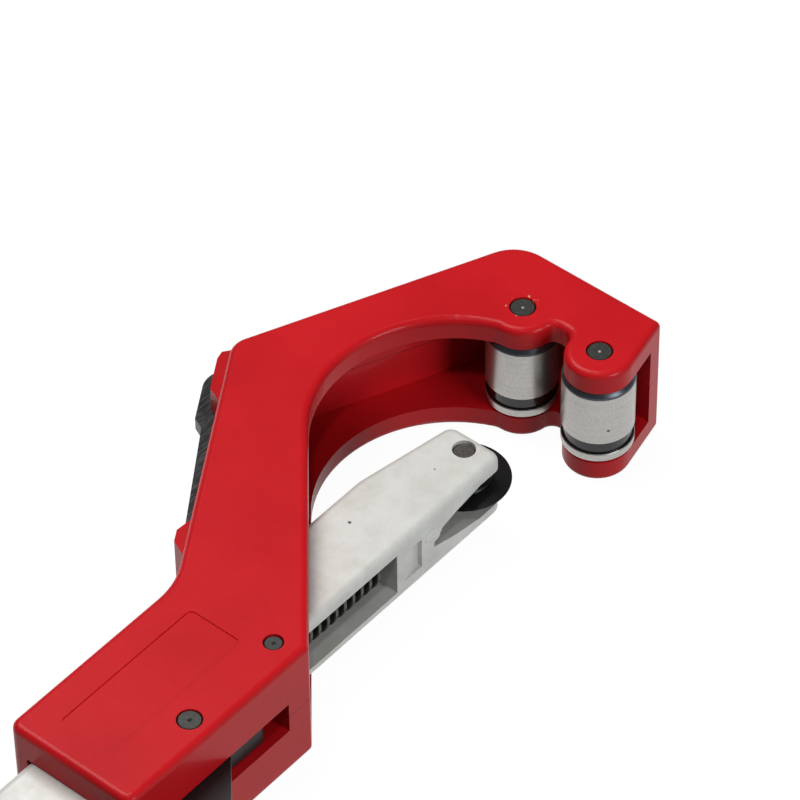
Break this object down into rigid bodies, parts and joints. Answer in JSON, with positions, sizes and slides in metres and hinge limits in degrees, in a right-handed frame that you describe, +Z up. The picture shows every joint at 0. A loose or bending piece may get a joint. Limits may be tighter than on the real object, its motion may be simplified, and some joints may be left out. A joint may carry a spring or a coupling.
{
  "type": "pipe cutter",
  "caption": "Hand pipe cutter with a C-shaped cast frame, guide rollers, a quick-release sliding cutter wheel and a folding reamer.",
  "frame": {"origin": "on the flat face the tool lies on, under the slide's axis and level with the release lever's pivot pin", "axes": "+X along the slide from the knob towards the roller jaw; +Y towards the C-shaped spine; +Z up out of the lying face, along the roller pins"},
  "size_m": [0.2105, 0.0907, 0.03],
  "materials": {
    "frame_paint": "gloss",
    "slide_zinc": "matt as-cast",
    "roller_steel": "ground",
    "pin_steel": "dull phosphate",
    "wheel_steel": "satin black oxide",
    "screw_steel": "black oxide, worn crests",
    "lever_steel": "dark phosphate",
    "spring_steel": "bright wire",
    "reamer_steel": "black oxide, bright edge",
    "knob_plastic": "matt"
  },
  "bodies": {
    "frame": {"frame": "frame_paint", "roller_pin_far": "pin_steel", "roller_pin_near": "pin_steel", "lever_pivot_pin": "pin_steel", "guide_pin": "pin_steel", "reamer_pin": "pin_steel", "reamer_washer": "spring_steel", "lever_spring": "spring_steel"},
    "slide": {"slide": "slide_zinc", "wheel_pin": "pin_steel"},
    "feed": {"feed_screw": "screw_steel", "thrust_washer": "roller_steel", "retaining_ring": "screw_steel", "knob": "knob_plastic", "knob_pin": "pin_steel", "spare_wheel": "wheel_steel", "knob_cap": "knob_plastic"},
    "wheel": {"cutter_wheel": "wheel_steel"},
    "far_roller": {"roller_far": "roller_steel"},
    "near_roller": {"roller_near": "roller_steel"},
    "lever": {"release_lever": "lever_steel"},
    "reamer": {"reamer_blade": "reamer_steel"}
  },
  "joints": [
    {"name": "slide_travel", "type": "slide", "parent": "frame", "child": "slide", "axis": [1, 0, 0], "range_m": [-0.043, 0.015]},
    {"name": "screw_spin", "type": "hinge", "parent": "slide", "child": "feed", "pos_m": [0, -0.002, 0.015], "axis": [1, 0, 0], "continuous": true},
    {"name": "wheel_spin", "type": "hinge", "parent": "slide", "child": "wheel", "pos_m": [0.0913, -0.002, 0.015], "axis": [0, 0, 1], "continuous": true},
    {"name": "roller_far_spin", "type": "hinge", "parent": "frame", "child": "far_roller", "pos_m": [0.124, 0.0098, 0.015], "axis": [0, 0, 1], "continuous": true},
    {"name": "roller_near_spin", "type": "hinge", "parent": "frame", "child": "near_roller", "pos_m": [0.124, -0.0098, 0.015], "axis": [0, 0, 1], "continuous": true},
    {"name": "lever_press", "type": "hinge", "parent": "frame", "child": "lever", "pos_m": [0, -0.0118, 0.015], "axis": [0, 0, 1], "range_deg": [-8, 0], "stiffness_Nm_per_rad": 0.6, "springref_deg": 8.59, "deforming": ["lever_spring"]},
    {"name": "reamer_swing", "type": "hinge", "parent": "frame", "child": "reamer", "pos_m": [0.07898, 0.04892, 0.015], "axis": [0, 0, 1], "range_deg": [-160, 0]}
  ],
  "couplings": [
    {"joint": "screw_spin", "follows": "slide_travel", "rad_per_m": 2513.3}
  ]
}
